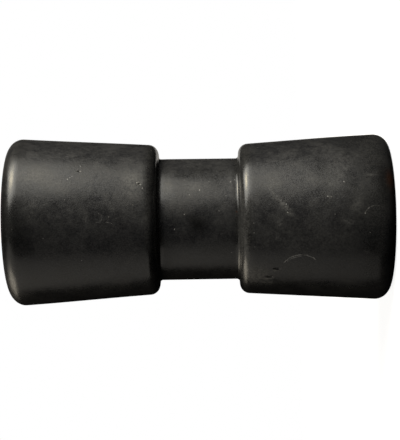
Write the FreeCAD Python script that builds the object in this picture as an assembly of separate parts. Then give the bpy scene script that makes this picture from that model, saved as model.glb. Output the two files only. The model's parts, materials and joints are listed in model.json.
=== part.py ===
"""Keel roller for a boat trailer, moulded in one piece of solid black rubber.

The roller stands on one end. Its turning axis is Z, and the origin is the middle
of the axle bore, at half length. Two drums that widen towards their outer ends
carry the hull, and a narrower waist between them takes the keel. The bore runs
the whole length, for a round axle between two bracket cheeks that bear on the
flat ends. All sizes are in millimetres.
"""

import FreeCAD, Part
import math
import os

# Driving dimensions
ROLLER_LENGTH = 200.0         # over the two flat ends
DRUM_END_DIAMETER = 88.5      # drum cone carried to the end plane, before its rim is rounded
DRUM_INNER_DIAMETER = 78.8    # drum cone at the shoulder corner, before it is rounded
WAIST_DIAMETER = 64.0
WAIST_WIDTH = 41.8            # between the shoulders, at the waist's surface
SHOULDER_DRAFT = 4.0          # degrees that each shoulder leans away from the waist
END_RIM_RADIUS = 7.7          # round at the drum's outer rim
SHOULDER_RIM_RADIUS = 5.2     # round at the drum's inner rim
WAIST_ROOT_RADIUS = 1.5       # round where the shoulder meets the waist
AXLE_DIAMETER = 16.0
AXLE_CLEARANCE = 0.5          # all round the axle
BORE_LEAD_IN = 1.5            # chamfer at each mouth of the bore, for the axle to find its way

# Sizes that follow from them
HALF_LENGTH = ROLLER_LENGTH / 2
BORE_RADIUS = AXLE_DIAMETER / 2 + AXLE_CLEARANCE
AXIS_START = FreeCAD.Vector(0, 0, 0)
AXIS_WAY = FreeCAD.Vector(0, 0, 1)
FULL_TURN = 360.0
SHARP = 0.0                   # a corner with no round


def shoulder_height(radius):
    """Height above the middle at which the drafted shoulder stands at a radius."""
    rise = radius - WAIST_DIAMETER / 2
    return WAIST_WIDTH / 2 + rise * math.tan(math.radians(SHOULDER_DRAFT))


def upper_corners():
    """Corners of the section's upper half, from the bore outwards: (radius, height, round)."""
    shoulder_radius = DRUM_INNER_DIAMETER / 2
    return [
        (BORE_RADIUS, HALF_LENGTH - BORE_LEAD_IN, SHARP),
        (BORE_RADIUS + BORE_LEAD_IN, HALF_LENGTH, SHARP),
        (DRUM_END_DIAMETER / 2, HALF_LENGTH, END_RIM_RADIUS),
        (shoulder_radius, shoulder_height(shoulder_radius), SHOULDER_RIM_RADIUS),
        (WAIST_DIAMETER / 2, WAIST_WIDTH / 2, WAIST_ROOT_RADIUS),
    ]


def section_corners():
    """The whole section's corners in order: the upper half, then its mirror image."""
    upper = upper_corners()
    lower = [(radius, -height, size) for radius, height, size in reversed(upper)]
    return upper + lower


def rounded_corner(before, corner, after, size):
    """The arc of radius size that touches both lines of a corner: (start, its edges, end)."""
    if size == SHARP:
        return corner, [], corner
    back = (before - corner).normalize()
    ahead = (after - corner).normalize()
    half_angle = back.getAngle(ahead) / 2
    touch = size / math.tan(half_angle)
    to_centre = (back + ahead).normalize()
    centre_distance = size / math.sin(half_angle)
    start = corner + back * touch
    end = corner + ahead * touch
    middle = corner + to_centre * (centre_distance - size)
    return start, [Part.Arc(start, middle, end).toShape()], end


def rounded_outline(corners):
    """A closed wire in the XZ plane through the corners, each with its own round."""
    points = [FreeCAD.Vector(radius, 0, height) for radius, height, _ in corners]
    rounds = []
    for index, (_, _, size) in enumerate(corners):
        after = points[(index + 1) % len(points)]
        rounds.append(rounded_corner(points[index - 1], points[index], after, size))
    edges = []
    for index, (_, arc, end) in enumerate(rounds):
        next_start = rounds[(index + 1) % len(rounds)][0]
        edges += arc
        edges.append(Part.LineSegment(end, next_start).toShape())
    return Part.Wire(edges)


def keel_roller():
    """The rubber moulding: its half section turned about the bore's axis."""
    section = Part.Face(rounded_outline(section_corners()))
    return section.revolve(AXIS_START, AXIS_WAY, FULL_TURN)


def main():
    os.makedirs("parts", exist_ok=True)
    roller = keel_roller()
    roller.exportStep("parts/keel_roller.step")
    box = roller.optimalBoundingBox(False)
    print(roller.ShapeType, "valid:", roller.isValid(), "volume mm3: %.0f" % roller.Volume)
    print("size mm: %.2f x %.2f x %.2f" % (box.XLength, box.YLength, box.ZLength))


main()
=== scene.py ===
"""Looks of the keel roller of a boat trailer: worn black rubber, stood on its end in soft light.

The roller turns about Z. The photo that it follows looks along +Y with the camera turned on its
side, so +Z lies to the left of that picture and +X to its top. Sizes are in metres, and a turn
is counted in degrees round the axis, from the line that faces the photo's camera towards +X.
"""

import json
import logging
import math
from dataclasses import dataclass
from enum import Enum

import bpy
import numpy as np
from mathutils import Matrix, Vector


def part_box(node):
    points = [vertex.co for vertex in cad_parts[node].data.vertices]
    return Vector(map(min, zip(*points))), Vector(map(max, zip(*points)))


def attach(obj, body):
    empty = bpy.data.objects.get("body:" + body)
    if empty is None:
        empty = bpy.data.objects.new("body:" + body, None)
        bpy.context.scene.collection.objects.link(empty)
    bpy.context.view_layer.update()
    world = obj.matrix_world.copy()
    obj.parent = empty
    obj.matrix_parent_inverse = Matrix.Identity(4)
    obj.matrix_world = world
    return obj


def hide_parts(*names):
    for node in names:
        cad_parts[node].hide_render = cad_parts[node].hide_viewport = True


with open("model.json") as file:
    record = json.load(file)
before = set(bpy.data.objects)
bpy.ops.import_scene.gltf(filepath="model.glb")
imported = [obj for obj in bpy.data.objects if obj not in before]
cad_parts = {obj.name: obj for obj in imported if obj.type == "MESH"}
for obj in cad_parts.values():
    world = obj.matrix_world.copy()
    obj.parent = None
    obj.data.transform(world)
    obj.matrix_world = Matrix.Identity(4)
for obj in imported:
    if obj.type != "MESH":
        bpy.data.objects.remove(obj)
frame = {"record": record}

NODE = "keel_roller"
BODY = "root"
MM = 0.001
log = logging.getLogger("keel_roller")


def smooth_step(low: float, high: float, value: np.ndarray) -> np.ndarray:
    """Climbs from 0 at low to 1 at high along 3t² - 2t³, where t is the share of the way.

    Args:
        low: value at which the climb starts.
        high: value at which it ends; lower than low for a fall.
        value: the array to map.

    Returns:
        An array of value's shape, from 0 to 1.
    """
    share = np.clip((value - low) / (high - low), 0.0, 1.0)
    return share * share * (3.0 - 2.0 * share)


@dataclass(frozen=True)
class Corner:
    """A corner of the turned section.

    Attributes:
        radius: distance from the axis.
        height: place along the axis.
        round: radius of the arc that replaces the corner.
    """

    radius: float
    height: float
    round: float


class RoundedOutline:
    """A closed outline of straight stretches and tangent arcs, measured by its arc length."""

    def __init__(self, corners: list[Corner]) -> None:
        """Cuts the outline into stretches of constant curvature.

        A round of radius R at a corner that turns by an angle t starts and ends R·tan(t/2) from
        the corner, is R·t long and has the curvature 1/R.

        Args:
            corners: the corners in order, with the material on the left of the way.
        """
        points = np.array([(c.radius, c.height) for c in corners])
        rounds = np.array([c.round for c in corners])
        ways = np.roll(points, -1, axis=0) - points
        sides = np.hypot(ways[:, 0], ways[:, 1])
        headings = np.arctan2(ways[:, 1], ways[:, 0])
        turns = headings - np.roll(headings, 1)
        turns = (turns + math.pi) % (2.0 * math.pi) - math.pi
        trims = rounds * np.abs(np.tan(turns / 2.0))
        runs = sides - trims - np.roll(trims, -1)
        units = ways / sides[:, None]
        line_starts = points + units * trims[:, None]
        arc_starts = points - np.roll(units, 1, axis=0) * trims[:, None]
        arc_headings = headings - turns
        self.starts = np.stack([arc_starts, line_starts], axis=1).reshape(-1, 2)
        self.headings = np.stack([arc_headings, headings], axis=1).ravel()
        self.curvatures = np.stack([np.sign(turns) / rounds, np.zeros(len(rounds))], axis=1).ravel()
        self.lengths = np.stack([rounds * np.abs(turns), runs], axis=1).ravel()
        self.reaches = np.concatenate([[0.0], np.cumsum(self.lengths)])

    @property
    def total(self) -> float:
        """Length of the whole outline."""
        return float(self.reaches[-1])

    def stretch_of(self, along: np.ndarray) -> np.ndarray:
        """Index of the stretch that each arc length falls in."""
        found = np.searchsorted(self.reaches, along, side="right") - 1
        return np.clip(found, 0, len(self.lengths) - 1)

    def points(self, along: np.ndarray) -> tuple[np.ndarray, np.ndarray]:
        """Points and outward normals at arc lengths along the outline.

        After a way s at curvature k, the point is the stretch's start plus a chord of length
        s·sin(ks/2)/(ks/2), and the chord's direction is the heading at the start plus ks/2.

        Args:
            along: arc lengths from 0 to total.

        Returns:
            Points and unit normals, each an array of (radius, height).
        """
        at = self.stretch_of(along)
        way = along - self.reaches[at]
        bend = self.curvatures[at] * way
        chord = way * np.sinc(bend / (2.0 * math.pi))
        chord_heading = self.headings[at] + bend / 2.0
        heading = self.headings[at] + bend
        points = self.starts[at] + np.stack([np.cos(chord_heading), np.sin(chord_heading)], axis=-1) * chord[:, None]
        normals = np.stack([np.sin(heading), -np.cos(heading)], axis=-1)
        return points, normals

    def radius_at(self, height: float) -> float:
        """Radius of the outer side at a height, read between close samples of the outline."""
        points, normals = self.points(np.linspace(0.0, self.total, 4000, endpoint=False))
        outer = points[normals[:, 0] > 0.0]
        order = np.argsort(outer[:, 1])
        return float(np.interp(height, outer[order, 1], outer[order, 0]))


def gathered(total: float, count: int, density: np.ndarray) -> np.ndarray:
    """Places of count grid lines over a closed length, closest where the density is highest.

    The running sum of the density, scaled to run from 0 to count, says how many lines lie
    before each place. Line i stands where that sum reaches i.

    Args:
        total: the closed length; its start and its end are the same place.
        count: how many lines there are.
        density: relative number of lines per length, sampled evenly over the length.

    Returns:
        The places, rising from 0 to just under total.
    """
    steps = np.linspace(0.0, total, len(density) + 1)
    running = np.concatenate([[0.0], np.cumsum(density)])
    running *= count / running[-1]
    return np.interp(np.arange(count), running, steps)


@dataclass(frozen=True)
class Skin:
    """The grid on the moulding's surface: one row per outline point, one column per turn.

    Attributes:
        radius: section radius of each row, as a column vector.
        height: height of each row, as a column vector.
        turn: turn of each column in radians, as a row vector.
        outside: how far each row is an outer face, from 0 in the bore to 1 on drums and waist.
    """

    radius: np.ndarray
    height: np.ndarray
    turn: np.ndarray
    outside: np.ndarray


@dataclass(frozen=True)
class Place:
    """A place on the skin.

    Attributes:
        height: height above the roller's middle, in mm.
        turn: turn in degrees.
    """

    height: float
    turn: float

    def offsets(self, skin: Skin, slant: float = 0.0) -> tuple[np.ndarray, np.ndarray]:
        """Distances of the grid's points from this place, along and across a slanted mark.

        The way round the surface is the radius times the turn from the place. Both ways are
        then turned by the slant.

        Args:
            skin: the grid.
            slant: angle in degrees from the axis towards rising turns.

        Returns:
            Distance along the mark and distance across it, in mm.
        """
        rise = skin.height / MM - self.height
        turn = skin.turn - math.radians(self.turn)
        turn = (turn + math.pi) % (2.0 * math.pi) - math.pi
        sideways = skin.radius / MM * turn
        cosine, sine = math.cos(math.radians(slant)), math.sin(math.radians(slant))
        return rise * cosine + sideways * sine, sideways * cosine - rise * sine

    def flat(self, section: "RoundedOutline") -> np.ndarray:
        """The place on the unrolled skin, in mm: its height, and the radius there times its turn."""
        return np.array([self.height, section.radius_at(self.height * MM) / MM * math.radians(self.turn)])


class Tone(Enum):
    """What discolours the rubber: stains and dust, and painted shade and painted light, by the name of the mesh
    attribute that carries it.
    """

    BLOOM = "bloom_and_painted_light"
    SOOT_AND_PAINTED_SHADE = "soot_and_painted_shade"
    EARTH = "earth"


RUBBED = "rubbed"
MATT = "matt"


@dataclass(frozen=True)
class Mark:
    """A trace of wear that the mesh carries; some smears are painted shade and painted light instead. Each kind says
    what it does to the skin.

    Attributes:
        place: its middle.
    """

    place: Place

    def relief(self, skin: Skin) -> np.ndarray | float:
        """Height that the mark adds to the skin, in mm, below 0 for a cut."""
        return 0.0

    def tint(self, skin: Skin, tone: Tone) -> np.ndarray | float:
        """Share of a tone that the mark adds, from 0 to 1."""
        return 0.0


@dataclass(frozen=True)
class Nick(Mark):
    """A short cut with a raised lip on one side, as from a stone or a bracket's edge.

    Attributes:
        length: its length in mm.
        width: its width in mm.
        depth: its depth in mm.
        slant: its angle from the axis in degrees.
        lip: height in mm of the flap on its falling side.
    """

    length: float
    width: float
    depth: float
    slant: float = 0.0
    lip: float = 0.12

    def shape(self, skin: Skin, shift: float) -> np.ndarray:
        """A bell across the cut, moved sideways by shift, times a flat-topped one along it."""
        along, across = self.place.offsets(skin, self.slant)
        ends = np.exp(-(2.0 * along / self.length) ** 4)
        return ends * np.exp(-(2.0 * (across - shift) / self.width) ** 2)

    def relief(self, skin: Skin) -> np.ndarray:
        """The cut's bell times its depth, with the lip's bell beside it."""
        return self.lip * self.shape(skin, -0.75 * self.width) - self.depth * self.shape(skin, 0.0)

    def tint(self, skin: Skin, tone: Tone) -> np.ndarray | float:
        """The lip is rubbed pale, and the cut's floor is dark."""
        if tone is Tone.BLOOM:
            return 0.9 * self.shape(skin, -0.9 * self.width)
        return self.shape(skin, 0.0) if tone is Tone.SOOT_AND_PAINTED_SHADE else 0.0


@dataclass(frozen=True)
class Pit(Mark):
    """A small round hole with a slightly raised rim.

    Attributes:
        width: its diameter in mm.
        depth: its depth in mm.
        grit: share of pale grit on its rim, from 0 to 1.
    """

    width: float
    depth: float
    grit: float = 0.0

    def reach(self, skin: Skin) -> np.ndarray:
        """Distance from the middle, in radii of the pit."""
        along, across = self.place.offsets(skin)
        return np.hypot(along, across) * 2.0 / self.width

    def relief(self, skin: Skin) -> np.ndarray:
        """A bell-shaped hole, and a ring of a sixth of its depth around it."""
        reach = self.reach(skin)
        return self.depth * (np.exp(-((reach - 1.35) / 0.35) ** 2) / 6.0 - np.exp(-reach ** 4))

    def tint(self, skin: Skin, tone: Tone) -> np.ndarray | float:
        """Grit lies on the rim's upper side, and the hole's floor is dark."""
        if tone is Tone.BLOOM:
            along, across = self.place.offsets(skin)
            ring = np.exp(-((self.reach(skin) - 1.1) / 0.4) ** 2)
            return self.grit * ring * smooth_step(-0.1, 0.4, along + 0.5 * across)
        return np.exp(-self.reach(skin) ** 4) if tone is Tone.SOOT_AND_PAINTED_SHADE else 0.0


@dataclass(frozen=True)
class Swell(Mark):
    """A wide, very low swell of the moulding, or a hollow where it has worn down.

    Attributes:
        length: its length along the axis in mm.
        width: its width round the axis in mm.
        height: its height in mm, below 0 for a hollow.
    """

    length: float
    width: float
    height: float

    def relief(self, skin: Skin) -> np.ndarray:
        """A bell that falls to a third at half the length and at half the width."""
        along, across = self.place.offsets(skin)
        return self.height * np.exp(-(2.0 * along / self.length) ** 2 - (2.0 * across / self.width) ** 2)


@dataclass(frozen=True)
class Smear(Mark):
    """A soft patch of one tone.

    Attributes:
        length: its length in mm.
        width: its width in mm.
        strength: share of the tone in its middle, from 0 to 1.
        slant: its angle from the axis in degrees.
        tone: what it is of.
    """

    length: float
    width: float
    strength: float
    slant: float = 0.0
    tone: Tone = Tone.BLOOM

    def tint(self, skin: Skin, tone: Tone) -> np.ndarray | float:
        """A bell that falls to a third at half the length and at half the width."""
        if tone is not self.tone:
            return 0.0
        along, across = self.place.offsets(skin, self.slant)
        return self.strength * np.exp(-(2.0 * along / self.length) ** 2 - (2.0 * across / self.width) ** 2)


@dataclass(frozen=True)
class Speck:
    """A fleck of grit, drawn by the material.

    Attributes:
        place: its middle.
        size: its diameter in mm.
        strength: how pale it is, from 0 to 1.
    """

    place: Place
    size: float
    strength: float

    def mask(self, hand: "NodeHand", skin: bpy.types.NodeSocket, section: RoundedOutline) -> bpy.types.NodeSocket:
        """The fleck's strength, by the distance from its middle on the unrolled skin."""
        gap = hand.vector("DISTANCE", skin, (*self.place.flat(section), 0.0))
        return hand.remap(gap, 0.25 * self.size, 0.65 * self.size, self.strength, 0.0)


@dataclass(frozen=True)
class Scratch:
    """A hairline scratch along an arc through three places, drawn by the material.

    Attributes:
        start: one end.
        middle: a place that it passes.
        end: the other end.
        strength: how pale it is, from 0 to 1.
        width: its width in mm.
    """

    start: Place
    middle: Place
    end: Place
    strength: float
    width: float = 0.4

    def circle(self, section: RoundedOutline) -> tuple[np.ndarray, float, np.ndarray, float]:
        """The circle that the arc lies on, on the unrolled skin.

        The centre c is as far from a as from b and m, so 2 (m - a)·c is |m|² - |a|² and
        2 (b - a)·c is |b|² - |a|².

        Args:
            section: the roller's section.

        Returns:
            The centre, the radius, the direction from the centre to the arc's own middle, and
            the cosine of half the arc's angle.
        """
        start, middle, end = (place.flat(section) for place in (self.start, self.middle, self.end))
        ways = 2.0 * np.stack([middle - start, end - start])
        centre = np.linalg.solve(ways, [middle @ middle - start @ start, end @ end - start @ start])
        radius = float(np.linalg.norm(start - centre))
        direction = (start + end) / 2.0 - centre
        direction = direction / np.linalg.norm(direction)
        if direction @ (middle - centre) < 0.0:
            direction = -direction
        return centre, radius, direction, float((start - centre) @ direction / radius)

    def mask(self, hand: "NodeHand", skin: bpy.types.NodeSocket, section: RoundedOutline) -> bpy.types.NodeSocket:
        """The scratch's strength: by the distance from its circle, within its angle."""
        centre, radius, direction, opening = self.circle(section)
        way = hand.vector("SUBTRACT", skin, (*centre, 0.0))
        gap = hand.vector("LENGTH", way)
        cosine = hand.math("DIVIDE", hand.vector("DOT_PRODUCT", way, (*direction, 0.0)), gap)
        fade = 0.15 * (1.0 - opening)
        within = hand.remap(cosine, opening, opening + fade, 0.0, self.strength)
        off_line = hand.math("ABSOLUTE", hand.math("SUBTRACT", gap, radius))
        return hand.math("MULTIPLY", within, hand.remap(off_line, 0.25 * self.width, 0.75 * self.width, 1.0, 0.0))


@dataclass(frozen=True)
class Wear:
    """All traces of use on the roller, with smears of painted shade and painted light among them.

    Attributes:
        marks: what the mesh carries.
        specks: flecks of grit.
        scratches: hairline scratches.
    """

    marks: tuple[Mark, ...]
    specks: tuple[Speck, ...]
    scratches: tuple[Scratch, ...]

    def __add__(self, other: "Wear") -> "Wear":
        """Both sets of traces together."""
        return Wear(self.marks + other.marks, self.specks + other.specks, self.scratches + other.scratches)


def seen_wear() -> Wear:
    """The traces on the side that the photo shows, each at its place there."""
    marks = (
        Nick(Place(-39.4, -39.8), 3.0, 1.2, 0.4, lip=0.1),
        Nick(Place(-36.0, -48.6), 3.2, 1.3, 0.45, lip=0.14),
        Pit(Place(60.3, 37.0), 1.1, 0.45, 0.5),
        Pit(Place(29.6, 27.2), 1.1, 0.4, 1.0),
        Swell(Place(-100.0, 35.0), 38.0, 100.0, -0.7),
        Swell(Place(21.0, 22.0), 11.0, 50.0, -0.3),
        Swell(Place(101.0, 28.0), 24.0, 90.0, 0.4),
        Swell(Place(84.0, -88.0), 68.0, 60.0, 0.56),
        Swell(Place(35.0, 88.0), 60.0, 60.0, 0.22),
        # Painted shade: the upper drum darker towards its end, below its highlight.
        Smear(Place(95.0, -12.0), 34.0, 52.0, 0.6, 0.0, Tone.SOOT_AND_PAINTED_SHADE),
        # Painted shade: dark bands along the underside of both drums, where their lower edges fall into shade.
        Smear(Place(40.0, -80.0), 130.0, 24.0, 0.7, 0.0, Tone.SOOT_AND_PAINTED_SHADE),
        Smear(Place(-60.0, -80.0), 90.0, 24.0, 0.7, 0.0, Tone.SOOT_AND_PAINTED_SHADE),
        # Painted shade: a dark band along the outer edge of the upper end's rim.
        Smear(Place(99.5, 15.0), 7.0, 80.0, 0.7, 0.0, Tone.SOOT_AND_PAINTED_SHADE),
        Smear(Place(95.0, -50.0), 9.0, 40.0, 0.35),
        # Painted highlight: a pale line along the lower drum's inner rim, in place of light reflected from above the
        # front.
        Smear(Place(-24.6, 0.0), 4.5, 110.0, 0.2),
        Smear(Place(-55.0, -17.0), 52.0, 14.0, 0.2),
        # Painted shade: the lower drum darker towards its end, where the light falls off before the rim.
        Smear(Place(-93.0, 24.0), 12.0, 28.0, 0.7, 0.0, Tone.SOOT_AND_PAINTED_SHADE),
        # Painted light: a pale patch on the upper drum's shaded shoulder rim, lightening its shade.
        Smear(Place(26.0, -6.0), 4.0, 24.0, 0.2),
        # A pale line in the upper root: dust, and painted light in the shaded shoulder.
        Smear(Place(21.4, -5.0), 1.2, 30.0, 0.6),
        # Painted highlight: pale patches on the lower drum's inner rim near its underside, where the low fill lamp
        # shines on it.
        Smear(Place(-28.0, -48.0), 13.0, 12.0, 0.8),
        Smear(Place(-30.5, -44.0), 12.0, 12.0, 0.5),
        Smear(Place(-89.0, -32.0), 9.0, 30.0, 0.6, 0.0, Tone.SOOT_AND_PAINTED_SHADE),
        Smear(Place(-63.0, 32.0), 8.0, 22.0, 0.55, 0.0, Tone.SOOT_AND_PAINTED_SHADE),
        Smear(Place(-74.0, 41.0), 14.0, 14.0, 0.2),
        Smear(Place(1.5, 31.0), 9.0, 7.0, 0.35),
        Smear(Place(16.5, 31.0), 7.0, 9.0, 0.35),
        Smear(Place(10.0, 43.0), 10.0, 5.0, 0.8, 0.0, Tone.SOOT_AND_PAINTED_SHADE),
        Smear(Place(-9.0, 36.0), 6.0, 8.0, 0.7, 20.0, Tone.SOOT_AND_PAINTED_SHADE),
        Smear(Place(86.0, 31.0), 12.0, 9.0, 0.3),
        Smear(Place(72.0, 25.0), 14.0, 8.0, 0.25, 20.0),
        Smear(Place(81.5, 34.0), 13.0, 8.0, 0.4),
        Smear(Place(57.5, 41.0), 14.0, 9.0, 0.4, 0.0, Tone.SOOT_AND_PAINTED_SHADE),
        # Painted shade: darker above the waist's highlight, which narrows it.
        Smear(Place(0.0, 43.0), 22.0, 6.0, 0.45, 0.0, Tone.SOOT_AND_PAINTED_SHADE),
        Smear(Place(33.5, 30.5), 11.0, 11.0, 0.6),
        Smear(Place(32.5, 19.0), 8.0, 8.0, 0.25),
        Smear(Place(60.0, 17.0), 14.0, 9.0, 0.4, 0.0, Tone.SOOT_AND_PAINTED_SHADE),
        Smear(Place(43.0, 43.0), 12.0, 7.0, 0.4, 0.0, Tone.SOOT_AND_PAINTED_SHADE),
        Smear(Place(-38.0, 26.0), 9.0, 8.0, 0.3, 30.0),
        Smear(Place(-59.0, 27.0), 12.0, 8.0, 0.25, -20.0),
        Smear(Place(-68.0, 24.0), 9.0, 6.0, 0.25),
        Smear(Place(-31.5, 18.5), 8.0, 6.0, 0.5, 0.0, Tone.SOOT_AND_PAINTED_SHADE),
        Smear(Place(-76.5, 22.0), 7.0, 9.0, 0.4, 0.0, Tone.SOOT_AND_PAINTED_SHADE),
        # Painted shade: a dark band along the whole waist above its highlight.
        Smear(Place(0.0, 51.0), 44.0, 8.0, 0.4, 0.0, Tone.SOOT_AND_PAINTED_SHADE),
        Smear(Place(56.5, 1.3), 6.0, 3.0, 0.3, 80.0),
        Smear(Place(84.3, 2.3), 5.0, 3.0, 0.25, 60.0),
        Smear(Place(43.9, 8.9), 4.0, 2.5, 0.25, 45.0),
        Smear(Place(34.5, -29.5), 8.0, 1.8, 0.35, -50.0),
        Smear(Place(28.3, -27.0), 5.0, 3.0, 0.25, -70.0),
        Smear(Place(0.1, -4.9), 9.0, 8.0, 0.9, 20.0, Tone.SOOT_AND_PAINTED_SHADE),
        Smear(Place(4.0, 2.0), 5.0, 5.0, 0.4, 0.0, Tone.SOOT_AND_PAINTED_SHADE),
        Smear(Place(-41.3, 12.0), 17.6, 3.2, 0.45, 52.0),
        Smear(Place(-44.6, 6.5), 7.0, 2.6, 0.4, 60.0),
        Smear(Place(-40.9, -4.5), 6.0, 4.0, 0.3, 80.0),
        Smear(Place(-79.5, 8.7), 8.5, 4.5, 0.4, -60.0),
        Smear(Place(-75.1, -3.2), 8.0, 3.4, 0.3, 20.0),
        Smear(Place(-66.2, 14.1), 4.0, 1.0, 0.8, 25.0),
        Smear(Place(-87.0, 29.0), 5.0, 1.1, 0.5),
        Smear(Place(-36.0, -55.5), 5.0, 4.0, 0.5, 30.0),
        Smear(Place(-38.4, -41.4), 1.2, 1.1, 1.0),
        Smear(Place(-34.9, -50.3), 1.4, 1.0, 0.8),
        Smear(Place(-39.3, -14.4), 4.0, 1.0, 0.4, -40.0),
        Smear(Place(-85.1, -24.4), 4.0, 1.0, 0.35, 10.0),
        Smear(Place(-97.3, 25.8), 4.0, 9.0, 0.5, 0.0, Tone.EARTH),
        Smear(Place(-19.4, 6.1), 0.7, 0.7, 1.0, 0.0, Tone.EARTH),
    )
    bright = (Place(59.7, 42.0), Place(27.9, 24.0), Place(-16.8, 36.2), Place(-44.3, 9.6), Place(-45.0, 3.7),
              Place(-83.6, 2.2), Place(7.1, 4.5), Place(-73.6, 24.6), Place(-65.2, 14.4), Place(65.8, 30.3),
              Place(30.8, 28.3), Place(-0.8, 27.7), Place(12.2, -8.8))
    faint = (Place(44.9, 2.6), Place(77.9, -11.3), Place(67.0, 14.9), Place(32.8, 11.1), Place(93.4, -4.6),
             Place(59.2, -28.5), Place(24.1, 66.7), Place(7.0, 39.2), Place(-18.9, 38.8), Place(-5.7, 37.0),
             Place(-10.5, 7.2), Place(-14.2, 21.4), Place(-16.8, -32.8), Place(4.4, 23.0), Place(-67.1, 13.8),
             Place(-68.6, 2.0), Place(-86.0, -10.7), Place(-28.3, -21.3), Place(-28.0, -10.7), Place(64.7, 31.7),
             Place(-27.8, -3.5), Place(-31.2, 66.8), Place(63.6, 32.7))
    specks = tuple(Speck(place, 0.6, 1.0) for place in bright) + tuple(Speck(place, 0.5, 0.6) for place in faint)
    scratches = (
        Scratch(Place(50.3, 5.1), Place(48.4, 1.9), Place(51.7, -0.8), 0.2),
        Scratch(Place(46.4, -0.9), Place(44.5, -1.6), Place(42.6, -2.8), 0.4),
        Scratch(Place(-83.6, 2.2), Place(-85.3, 5.5), Place(-88.0, 7.0), 0.4),
        Scratch(Place(-88.0, 7.0), Place(-91.5, 6.6), Place(-95.6, 4.3), 0.12),
        Scratch(Place(-42.9, -34.5), Place(-51.0, -27.2), Place(-59.5, -31.6), 1.0, 0.5),
        Scratch(Place(-44.5, -33.0), Place(-48.0, -29.6), Place(-52.0, -28.2), 0.7, 0.5),
        Scratch(Place(-35.8, 21.7), Place(-40.0, 15.0), Place(-46.7, 2.2), 0.12),
    )
    return Wear(marks, specks, scratches)


def hidden_wear() -> Wear:
    """A guess at the traces on the side away from the photo: as many and of the same kinds."""
    rng = np.random.default_rng(23)

    def anywhere() -> Place:
        """A place on the drums or the waist, on the hidden side."""
        return Place(rng.uniform(-88.0, 88.0), rng.uniform(95.0, 265.0))

    smears = tuple(
        Smear(anywhere(), rng.uniform(4.0, 12.0), rng.uniform(1.5, 4.0), rng.uniform(0.2, 0.5), rng.uniform(-80.0, 80.0))
        for _ in range(16)
    )
    cuts = (
        Nick(Place(48.0, 150.0), 2.8, 1.1, 0.35, 35.0),
        Pit(Place(-62.0, 205.0), 1.0, 0.3, 0.6),
        Pit(Place(71.0, 232.0), 0.9, 0.3, 0.4),
    )
    specks = tuple(Speck(anywhere(), 0.65, rng.uniform(0.4, 0.9)) for _ in range(30))
    scratches = (
        Scratch(Place(55.0, 178.0), Place(62.0, 184.0), Place(70.0, 182.0), 0.35),
        Scratch(Place(-44.0, 228.0), Place(-50.0, 222.0), Place(-57.0, 224.0), 0.4, 0.6),
    )
    return Wear(smears + cuts, specks, scratches)


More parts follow.
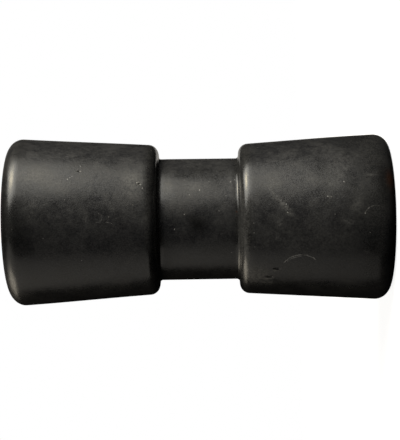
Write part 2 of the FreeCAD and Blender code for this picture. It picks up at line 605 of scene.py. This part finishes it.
@dataclass
class KeelRoller:
    """The moulding: two drums that widen outwards, and a waist between them.

    Attributes:
        length: length over the flat ends, from the frame.
        bore: radius of the axle bore, from the frame's mount.
        drum_end: radius of the drum's cone at the end plane.
        drum_inner: radius of the drum's cone at the shoulder.
        waist: radius of the waist.
        waist_half: half width of the waist, at its surface.
        lower_shift: how far the lower shoulder lies below its place in a true moulding.
        draft: angle of the shoulders in degrees.
        end_round: radius of the outer rims.
        shoulder_round: radius of the inner rims.
        root_round: radius where the waist meets the shoulders.
        lead_in: chamfer at the bore's mouths.
        edge_round: radius that breaks the chamfer's edges.
        wear: the traces of use, with the smears of painted shade and painted light.
        rows: how many points the section has.
        columns: how many steps the turn has.
    """

    length: float
    bore: float
    wear: Wear
    drum_end: float = 44.25 * MM
    drum_inner: float = 39.4 * MM
    waist: float = 32.0 * MM
    waist_half: float = 20.9 * MM
    lower_shift: float = 0.2 * MM
    draft: float = 4.0
    end_round: float = 7.7 * MM
    shoulder_round: float = 5.2 * MM
    root_round: float = 1.5 * MM
    lead_in: float = 1.5 * MM
    edge_round: float = 0.3 * MM
    rows: int = 262
    columns: int = 380

    def corners(self) -> list[Corner]:
        """Corners of the whole section, up the outside and back down the bore."""
        shoulder_height = self.waist_half + (self.drum_inner - self.waist) * math.tan(math.radians(self.draft))
        half = self.length / 2.0
        lower = [
            Corner(self.bore, self.lead_in - half, self.edge_round),
            Corner(self.bore + self.lead_in, -half, self.edge_round),
            Corner(self.drum_end, -half, self.end_round),
            Corner(self.drum_inner, -shoulder_height, self.shoulder_round),
            Corner(self.waist, -self.waist_half, self.root_round),
        ]
        upper = [Corner(c.radius, -c.height, c.round) for c in reversed(lower)]
        lowered = [Corner(c.radius, c.height - self.lower_shift, c.round) for c in lower[3:]]
        return lower[:3] + lowered + upper

    def row_places(self, outline: RoundedOutline) -> np.ndarray:
        """Arc lengths of the rows: close on rounds and near marks, wide apart in the bore."""
        samples = np.linspace(0.0, outline.total, 6000, endpoint=False)
        points, _ = outline.points(samples)
        radius, height = points[:, 0], points[:, 1]
        outside = smooth_step(self.bore, 0.8 * self.waist, radius)
        bends = np.abs(outline.curvatures[outline.stretch_of(samples)])
        density = 90.0 + 800.0 * outside + 5.0 * bends
        for mark in self.wear.marks:
            if isinstance(mark, (Nick, Pit)):
                near = (height / MM - mark.place.height) / 2.5
                density += 2200.0 * outside * np.exp(-near ** 2)
        return gathered(outline.total, self.rows, density)

    def column_turns(self) -> np.ndarray:
        """Turns of the columns in radians: closer on the side that the photo shows."""
        samples = np.linspace(-180.0, 180.0, 3600, endpoint=False)
        density = 1.0 + 1.0 * np.exp(-(samples / 75.0) ** 4)
        for mark in self.wear.marks:
            if isinstance(mark, (Nick, Pit)):
                near = (samples - mark.place.turn) / 3.5
                density += 4.0 * np.exp(-near ** 2)
        return np.radians(gathered(360.0, self.columns, density) - 180.0)

    def rubbed(self, skin: Skin) -> np.ndarray:
        """Share of the skin that is rubbed clean and smooth, from 0 to 1.

        It is 1 on the inner rims, the shoulders and the waist's roots, less on the outer rims,
        and 0 on the faces of the drums and of the waist, with smooth climbs by the height
        between them. The lower drum is rubbed further up. One flank of the roller, about a
        sixth of its turn, is rubbed along its whole length.
        """
        away = np.abs(skin.height) / MM
        half, groove = self.length / 2.0 / MM, self.waist_half / MM
        start = np.where(skin.height < 0.0, half - 36.0, half - 16.0)
        end = np.where(skin.height < 0.0, half - 9.0, half - 4.0)
        ends = 0.7 * smooth_step(start, end, away)
        shoulders = smooth_step(groove + 8.0, groove + 3.6, away)
        roots = smooth_step(groove - 3.4, groove - 1.1, away)
        turn = np.degrees(skin.turn)
        flank = 0.9 * smooth_step(-46.0, -61.0, turn) * smooth_step(-118.0, -100.0, turn)
        rims = np.maximum(ends, np.minimum(shoulders, roots))
        return np.maximum(rims, flank) * skin.outside

    def unevenness(self, skin: Skin) -> np.ndarray:
        """Slow waves of the moulding's surface, in mm.

        Each is a sine of a whole number of turns round the axis plus a way along it, so the
        surface closes on itself.
        """
        waves = 0.0
        rng = np.random.default_rng(11)
        for lobes in (2, 3, 5, 7, 9):
            phase, way = rng.uniform(0.0, 2.0 * math.pi), rng.uniform(-90.0, 90.0)
            waves = waves + np.sin(lobes * skin.turn + way * skin.height + phase) * 0.05 / lobes
        return waves * skin.outside

    def section(self) -> RoundedOutline:
        """The turned section's outline."""
        return RoundedOutline(self.corners())

    def build(self) -> bpy.types.Object:
        """Makes the moulding's mesh: the section's outline turned about Z, moved by its relief.

        A grid point at outline place s and turn t lies at (r sin t, -r cos t, z), where r and z
        are the outline's radius and height at s plus the relief times the outline's normal.

        Returns:
            The finished object, at the origin.
        """
        outline = self.section()
        points, normals = outline.points(self.row_places(outline))
        turn = self.column_turns()[None, :]
        radius, height = points[:, :1], points[:, 1:]
        in_sight = smooth_step(self.waist * 0.6, self.waist * 0.9, radius)
        outside = in_sight * smooth_step(self.length / 2.0, self.length / 2.0 - self.end_round, np.abs(height))
        skin = Skin(radius, height, turn, outside)
        relief = self.unevenness(skin)
        tints = {tone: np.zeros((self.rows, self.columns)) for tone in Tone}
        for mark in self.wear.marks:
            relief = relief + mark.relief(skin) * outside
            for tone in Tone:
                tints[tone] = tints[tone] + mark.tint(skin, tone) * in_sight
        radius = radius + relief * MM * normals[:, :1]
        height = height + relief * MM * normals[:, 1:]
        grid = np.stack([radius * np.sin(turn), -radius * np.cos(turn), height], axis=-1)
        piece = closed_grid("rubber_moulding", grid)
        carried = {tone.value: values for tone, values in tints.items()}
        carried[RUBBED] = np.broadcast_to(self.rubbed(skin), relief.shape)
        flat = smooth_step(0.7, 0.95, np.abs(normals[:, 1:]))
        ends = flat * (np.abs(height) > self.length / 2.0 - self.end_round)
        carried[MATT] = np.broadcast_to(np.maximum(ends, 1.0 - in_sight), relief.shape)
        for name, values in carried.items():
            attribute = piece.data.attributes.new(name, "FLOAT", "POINT")
            attribute.data.foreach_set("value", values.astype(np.float32).ravel())
        return piece


def closed_grid(name: str, grid: np.ndarray) -> bpy.types.Object:
    """Joins a grid of points into quads, closed both ways, and shades it smooth.

    Point (i, j) is joined to (i+1, j) and (i, j+1), where the last row and the last column
    are followed by the first.

    Args:
        name: the object's name.
        grid: points, rows by columns by 3.

    Returns:
        The object, linked to the scene.
    """
    rows, columns = grid.shape[:2]
    index = np.arange(rows * columns).reshape(rows, columns)
    down, across = np.roll(index, -1, axis=0), np.roll(index, -1, axis=1)
    both = np.roll(down, -1, axis=1)
    faces = np.stack([index, across, both, down], axis=-1).reshape(-1, 4)
    mesh = bpy.data.meshes.new(name)
    mesh.vertices.add(rows * columns)
    mesh.vertices.foreach_set("co", grid.astype(np.float32).ravel())
    mesh.loops.add(faces.size)
    mesh.loops.foreach_set("vertex_index", faces.astype(np.int32).ravel())
    mesh.polygons.add(len(faces))
    mesh.polygons.foreach_set("loop_start", np.arange(0, faces.size, 4, dtype=np.int32))
    mesh.polygons.foreach_set("use_smooth", np.ones(len(faces), dtype=bool))
    mesh.update(calc_edges=True)
    piece = bpy.data.objects.new(name, mesh)
    bpy.context.scene.collection.objects.link(piece)
    return piece


class NodeHand:
    """Lays out and links the nodes of one material."""

    def __init__(self, name: str) -> None:
        """Starts a material with an empty node tree.

        Args:
            name: the material's name.
        """
        self.material = bpy.data.materials.new(name)
        self.material.use_nodes = True
        self.tree = self.material.node_tree
        self.tree.nodes.clear()

    def add(self, kind: str, **settings: object) -> bpy.types.Node:
        """Adds a node of a Blender type and sets its properties."""
        node = self.tree.nodes.new(kind)
        for name, value in settings.items():
            setattr(node, name, value)
        return node

    def feed(self, socket: bpy.types.NodeSocket, value: object) -> None:
        """Links a socket into an input, or sets a number or a vector on it."""
        if isinstance(value, bpy.types.NodeSocket):
            self.tree.links.new(value, socket)
        else:
            socket.default_value = value

    def place(self) -> bpy.types.NodeSocket:
        """Object coordinates."""
        return self.add("ShaderNodeTexCoord").outputs["Object"]

    def vector(self, operation: str, first: object, second: object = (0.0, 0.0, 0.0)) -> bpy.types.NodeSocket:
        """One sum on two vectors: a vector, or a number for a length, a distance or a dot product."""
        node = self.add("ShaderNodeVectorMath", operation=operation)
        self.feed(node.inputs[0], first)
        if operation != "LENGTH":
            self.feed(node.inputs[1], second)
        number = operation in ("LENGTH", "DISTANCE", "DOT_PRODUCT")
        return node.outputs["Value" if number else "Vector"]

    def skin(self) -> bpy.types.NodeSocket:
        """The place on the unrolled skin in mm: X is the height, Y the radius times the turn."""
        at = self.vector("MULTIPLY", self.place(), (1.0 / MM, 1.0 / MM, 1.0 / MM))
        parts = self.add("ShaderNodeSeparateXYZ")
        self.feed(parts.inputs[0], at)
        radius = self.vector("LENGTH", self.vector("MULTIPLY", at, (1.0, 1.0, 0.0)))
        turn = self.math("ARCTAN2", parts.outputs["X"], self.math("MULTIPLY", parts.outputs["Y"], -1.0))
        skin = self.add("ShaderNodeCombineXYZ")
        self.feed(skin.inputs["X"], parts.outputs["Z"])
        self.feed(skin.inputs["Y"], self.math("MULTIPLY", radius, turn))
        return skin.outputs["Vector"]

    def attribute(self, name: str) -> bpy.types.NodeSocket:
        """A number that the mesh carries."""
        return self.add("ShaderNodeAttribute", attribute_name=name).outputs["Fac"]

    def noise(self, at: bpy.types.NodeSocket, size: float, detail: float = 2.0, rough: float = 0.5) -> bpy.types.NodeSocket:
        """Cloudy noise whose largest blobs are about size metres across."""
        node = self.add("ShaderNodeTexNoise")
        self.feed(node.inputs["Vector"], at)
        self.feed(node.inputs["Scale"], 1.0 / size)
        self.feed(node.inputs["Detail"], detail)
        self.feed(node.inputs["Roughness"], rough)
        return node.outputs["Fac"]

    def math(self, operation: str, first: object, second: object = 0.0) -> bpy.types.NodeSocket:
        """One sum on two numbers."""
        node = self.add("ShaderNodeMath", operation=operation)
        self.feed(node.inputs[0], first)
        self.feed(node.inputs[1], second)
        return node.outputs[0]

    def remap(self, value: object, low: float, high: float, to_low: float, to_high: float) -> bpy.types.NodeSocket:
        """Maps low..high to to_low..to_high, held at both ends, with a smooth climb."""
        node = self.add("ShaderNodeMapRange", interpolation_type="SMOOTHSTEP")
        for name, entry in (("Value", value), ("From Min", low), ("From Max", high), ("To Min", to_low), ("To Max", to_high)):
            self.feed(node.inputs[name], entry)
        return node.outputs["Result"]

    def blend(self, share: object, first: object, second: object) -> bpy.types.NodeSocket:
        """A colour between two, by a share from 0 to 1."""
        node = self.add("ShaderNodeMix", data_type="RGBA")
        self.feed(node.inputs["Factor"], share)
        self.feed(node.inputs["A"], first)
        self.feed(node.inputs["B"], second)
        return node.outputs["Result"]


@dataclass(frozen=True)
class WornRubber:
    """Black moulded rubber with a dusty film, fine grain and scuffs, and smears of painted shade and painted light.

    Attributes:
        black: the rubber's colour.
        clean: its colour where it is rubbed clean.
        bloom_and_painted_light: the colour of dust and rubbed rubber, and of painted light on the inner rims and
            shaded shoulders.
        grit: the colour of specks and scratches.
        soot_and_painted_shade: the colour of dark stains and of the floors of cuts, and of painted shade on the
            drums' ends, their underside and the waist.
        earth: the colour of rusty dirt.
        roughness: mean roughness.
        smooth: roughness where it is rubbed clean.
        matt: roughness of the end faces and in the bore.
    """

    black: tuple[float, float, float, float] = (0.0112, 0.0116, 0.0138, 1.0)
    clean: tuple[float, float, float, float] = (0.0090, 0.0092, 0.0100, 1.0)
    bloom_and_painted_light: tuple[float, float, float, float] = (0.108, 0.107, 0.104, 1.0)
    grit: tuple[float, float, float, float] = (0.28, 0.275, 0.27, 1.0)
    soot_and_painted_shade: tuple[float, float, float, float] = (0.004, 0.004, 0.004, 1.0)
    earth: tuple[float, float, float, float] = (0.10, 0.035, 0.012, 1.0)
    roughness: float = 0.36
    smooth: float = 0.19
    matt: float = 0.6

    def lines(self, hand: NodeHand, wear: Wear, section: RoundedOutline, broken: object) -> bpy.types.NodeSocket:
        """The strongest of all specks, and of all scratches broken up by noise, at each place."""
        skin = hand.skin()
        strongest = 0.0
        for scratch in wear.scratches:
            strongest = hand.math("MAXIMUM", scratch.mask(hand, skin, section), strongest)
        strongest = hand.math("MULTIPLY", strongest, broken)
        for speck in wear.specks:
            strongest = hand.math("MAXIMUM", speck.mask(hand, skin, section), strongest)
        return strongest

    def build(self, wear: Wear, section: RoundedOutline) -> bpy.types.Material:
        """Builds the material.

        Clouds, mottle and grain are noise on Object coordinates. Smears, cuts and pits come
        from the mesh's attributes, broken up by noise, and specks and scratches are drawn here.

        Args:
            wear: the roller's traces of use, with the smears of painted shade and painted light.
            section: the roller's section.

        Returns:
            The material.
        """
        hand = NodeHand("worn_rubber")
        at = hand.place()
        rubbed = hand.attribute(RUBBED)
        clouds = hand.noise(at, 12.0 * MM, 3.0, 0.65)
        mottle = hand.noise(at, 2.4 * MM, 3.0, 0.6)
        grain = hand.noise(at, 0.8 * MM, 2.0, 0.6)
        broken = hand.remap(hand.noise(at, 1.3 * MM, 3.0, 0.7), 0.35, 0.65, 0.1, 1.0)
        # The pale tone from the mesh holds scuffs, and also painted highlights and painted light in shade.
        scuffs_and_painted_light = hand.math("MULTIPLY", hand.attribute(Tone.BLOOM.value), broken)
        lines = self.lines(hand, wear, section, broken)
        dust = hand.math("ADD", hand.remap(clouds, 0.35, 0.7, 0.0, 0.09), hand.remap(grain, 0.35, 0.7, 0.0, 0.12))
        dust = hand.math("ADD", dust, hand.remap(mottle, 0.35, 0.7, 0.0, 0.05))
        pale = hand.math("ADD", scuffs_and_painted_light, dust)
        colour = hand.blend(pale, hand.blend(rubbed, self.black, self.clean), self.bloom_and_painted_light)
        colour = hand.blend(lines, colour, self.grit)
        colour = hand.blend(hand.attribute(Tone.EARTH.value), colour, self.earth)
        # The dark tone from the mesh holds stains and the floors of cuts, and also painted shade.
        dark = hand.math("MULTIPLY", hand.attribute(Tone.SOOT_AND_PAINTED_SHADE.value), hand.remap(mottle, 0.3, 0.6, 0.6, 1.0))
        colour = hand.blend(dark, colour, self.soot_and_painted_shade)
        patchy = hand.math("ADD", hand.remap(clouds, 0.3, 0.7, -0.14, 0.14), hand.remap(mottle, 0.3, 0.7, -0.1, 0.1))
        patchy = hand.math("MULTIPLY", patchy, hand.remap(rubbed, 0.0, 0.8, 1.0, 0.2))
        rough = hand.math("MULTIPLY", rubbed, self.smooth - self.roughness)
        rough = hand.math("ADD", rough, hand.math("MULTIPLY", hand.attribute(MATT), self.matt - self.roughness))
        rough = hand.math("ADD", rough, self.roughness)
        rough = hand.math("MULTIPLY", rough, hand.math("ADD", patchy, 1.0))
        rough = hand.math("ADD", rough, hand.math("MULTIPLY", pale, 0.3))
        rough = hand.math("SUBTRACT", rough, hand.math("MULTIPLY", dark, 0.08))
        height = hand.math("ADD", hand.math("MULTIPLY", grain, 0.8), hand.math("MULTIPLY", mottle, 0.8))
        height = hand.math("MULTIPLY", height, hand.remap(rubbed, 0.0, 0.8, 1.0, 0.2))
        bump = hand.add("ShaderNodeBump")
        hand.feed(bump.inputs["Height"], height)
        hand.feed(bump.inputs["Distance"], 0.05 * MM)
        hand.feed(bump.inputs["Strength"], 1.0)
        shader = hand.add("ShaderNodeBsdfPrincipled")
        hand.feed(shader.inputs["Base Color"], colour)
        hand.feed(shader.inputs["Roughness"], rough)
        hand.feed(shader.inputs["IOR"], 1.5)
        hand.feed(shader.inputs["Normal"], bump.outputs["Normal"])
        output = hand.add("ShaderNodeOutputMaterial")
        hand.feed(output.inputs["Surface"], shader.outputs["BSDF"])
        return hand.material


@dataclass(frozen=True)
class PaleFloor:
    """The floor: a white disc that fades out at its edge.

    Attributes:
        level: its height.
        radius: its radius.
        white: its colour.
        glow: how much it shines by itself, which lightens the shadow on it.
    """

    level: float
    radius: float = 0.9
    white: tuple[float, float, float, float] = (0.4, 0.4, 0.4, 1.0)
    glow: float = 0.88

    def dress(self) -> bpy.types.Material:
        """White, and clear towards the edge, by the distance from the middle."""
        hand = NodeHand("pale_floor")
        distance = hand.add("ShaderNodeVectorMath", operation="LENGTH")
        hand.feed(distance.inputs[0], hand.place())
        clear = hand.remap(distance.outputs["Value"], 0.35 * self.radius, 0.95 * self.radius, 0.0, 1.0)
        matt = hand.add("ShaderNodeBsdfDiffuse")
        hand.feed(matt.inputs["Color"], self.white)
        glow = hand.add("ShaderNodeEmission")
        hand.feed(glow.inputs["Strength"], self.glow)
        lit = hand.add("ShaderNodeAddShader")
        hand.feed(lit.inputs[0], matt.outputs["BSDF"])
        hand.feed(lit.inputs[1], glow.outputs["Emission"])
        glass = hand.add("ShaderNodeBsdfTransparent")
        mixed = hand.add("ShaderNodeMixShader")
        hand.feed(mixed.inputs[0], clear)
        hand.feed(mixed.inputs[1], lit.outputs["Shader"])
        hand.feed(mixed.inputs[2], glass.outputs["BSDF"])
        output = hand.add("ShaderNodeOutputMaterial")
        hand.feed(output.inputs["Surface"], mixed.outputs["Shader"])
        return hand.material

    def build(self) -> bpy.types.Object:
        """Makes the disc: its points lie on circles, at radius times the cosine and sine."""
        turns = np.linspace(0.0, 2.0 * math.pi, 96, endpoint=False)
        rim = np.stack([np.cos(turns), np.sin(turns), np.zeros(96)], axis=-1) * self.radius
        rim[:, 2] = self.level
        mesh = bpy.data.meshes.new("floor")
        mesh.from_pydata(rim.tolist(), [], [list(range(96))])
        floor = bpy.data.objects.new("floor", mesh)
        bpy.context.scene.collection.objects.link(floor)
        floor.visible_diffuse = False
        floor.visible_glossy = False
        mesh.materials.append(self.dress())
        return floor


@dataclass(frozen=True)
class SoftLamp:
    """A rectangular studio lamp that faces the roller's middle and isn't seen itself.

    Attributes:
        name: its name.
        turn: turn in degrees of the way to it.
        lift: its height above the horizon, in degrees.
        distance: how far away it is.
        wide: its width.
        high: its height.
        radiance: how bright its face is.
        colour: the colour of its light.
    """

    name: str
    turn: float
    lift: float
    distance: float
    wide: float
    high: float
    radiance: float
    colour: tuple[float, float, float] = (1.0, 0.96, 0.88)

    def build(self) -> bpy.types.Object:
        """Makes the lamp. A face that shines evenly has a power of pi times its area and its radiance."""
        lamp = bpy.data.lights.new(self.name, "AREA")
        lamp.shape = "RECTANGLE"
        lamp.size = self.wide
        lamp.size_y = self.high
        lamp.energy = math.pi * self.wide * self.high * self.radiance
        lamp.color = self.colour
        turn, lift = math.radians(self.turn), math.radians(self.lift)
        way = Vector((math.sin(turn) * math.cos(lift), -math.cos(turn) * math.cos(lift), math.sin(lift)))
        stand = bpy.data.objects.new(self.name, lamp)
        stand.location = way * self.distance
        stand.rotation_euler = (-way).to_track_quat("-Z", "Y").to_euler()
        stand.visible_camera = False
        bpy.context.scene.collection.objects.link(stand)
        return stand


@dataclass(frozen=True)
class Surround:
    """The room: white where the camera sees it, and dim as a source of light.

    Attributes:
        seen: brightness of the background.
        glow: brightness of the light that comes from it.
    """

    seen: float = 1.0
    glow: float = 0.002

    def build(self) -> None:
        """Builds the world from two backgrounds, mixed by the kind of ray."""
        world = bpy.data.worlds.new("room")
        world.use_nodes = True
        nodes, links = world.node_tree.nodes, world.node_tree.links
        nodes.clear()
        dim, white = nodes.new("ShaderNodeBackground"), nodes.new("ShaderNodeBackground")
        for light, strength in ((dim, self.glow), (white, self.seen)):
            light.inputs["Color"].default_value = (1.0, 1.0, 1.0, 1.0)
            light.inputs["Strength"].default_value = strength
        rays, mixed = nodes.new("ShaderNodeLightPath"), nodes.new("ShaderNodeMixShader")
        output = nodes.new("ShaderNodeOutputWorld")
        links.new(rays.outputs["Is Camera Ray"], mixed.inputs[0])
        links.new(dim.outputs[0], mixed.inputs[1])
        links.new(white.outputs[0], mixed.inputs[2])
        links.new(mixed.outputs[0], output.inputs["Surface"])
        bpy.context.scene.world = world


@dataclass(frozen=True)
class PhotoCamera:
    """The photo's camera, turned on its side so that the roller's axis lies across the picture.

    Attributes:
        picture: the photo's width and height in pixels.
        middle: pixel at which the roller's middle lies.
        scale: pixels per metre at the roller's middle.
        distance: distance from the camera to the roller's middle, along the view.
        rise: angle in degrees by which the axis climbs to the right of the picture.
        swing: angle in degrees by which its right end comes nearer.
        sensor: width in mm of the sensor, which spans the picture's longer side.
    """

    picture: tuple[float, float] = (400.0, 440.0)
    middle: tuple[float, float] = (198.95, 219.2)
    scale: float = 1882.0
    distance: float = 738.1 * MM
    rise: float = 0.94
    swing: float = 0.51
    sensor: float = 36.0

    def build(self) -> bpy.types.Object:
        """Makes the camera and gives it to the scene.

        Unturned, its right is -Z, its top is +X and it looks along +Y. It is then rolled by
        the rise about its own view, and swung about X.
        """
        lens = bpy.data.cameras.new("photo_camera")
        lens.sensor_width = self.sensor
        lens.lens = self.scale * self.distance * self.sensor / max(self.picture)
        upright = Matrix(((0.0, 1.0, 0.0), (0.0, 0.0, -1.0), (-1.0, 0.0, 0.0))).to_4x4()
        turned = Matrix.Rotation(math.radians(self.swing), 4, "X") @ upright @ Matrix.Rotation(-math.radians(self.rise), 4, "Z")
        right = (self.middle[0] - self.picture[0] / 2.0) / self.scale
        up = (self.picture[1] / 2.0 - self.middle[1]) / self.scale
        to_middle = turned @ Vector((right, up, -self.distance))
        camera = bpy.data.objects.new("photo_camera", lens)
        camera.matrix_world = Matrix.Translation(-to_middle) @ turned
        bpy.context.scene.collection.objects.link(camera)
        bpy.context.scene.camera = camera
        return camera


LAMPS = (
    SoftLamp("key_core", 65.7, 33.0, 0.980, 0.321, 0.340, 12.8, (1.0, 0.86, 0.57)),
    SoftLamp("key", 62.2, 31.0, 1.011, 0.983, 0.960, 5.3, (1.0, 0.985, 0.92)),
    SoftLamp("fill", -74.0, 28.0, 0.500, 0.480, 0.766, 0.53, (1.0, 0.948, 0.858)),
    SoftLamp("low_fill", -104.5, 38.0, 1.200, 0.690, 0.560, 2.85, (1.0, 0.90, 0.72)),
    SoftLamp("back", 172.0, 0.0, 1.1, 0.35, 1.6, 0.5),
)


def main() -> None:
    """Builds the roller, the floor, the lamps and the camera, and reports each piece."""
    logging.basicConfig(level=logging.INFO, format="%(message)s")
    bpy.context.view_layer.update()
    low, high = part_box(NODE)
    bore = next(m for m in frame["record"]["mounts"] if m["name"] == "axle_bore")
    bpy.context.scene.view_settings.view_transform = "Standard"
    PhotoCamera().build()
    wear = seen_wear() + hidden_wear()
    roller = KeelRoller(high.z - low.z, bore["dims"]["r_mm"] * MM, wear)
    piece = roller.build()
    piece.data.materials.append(WornRubber().build(wear, roller.section()))
    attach(piece, BODY)
    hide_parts(NODE)
    log.info("%s: %d points", piece.name, len(piece.data.vertices))
    PaleFloor(low.z - 0.2 * MM).build()
    for lamp in LAMPS:
        lamp.build()
    Surround().build()


if __name__ == "__main__":
    main()
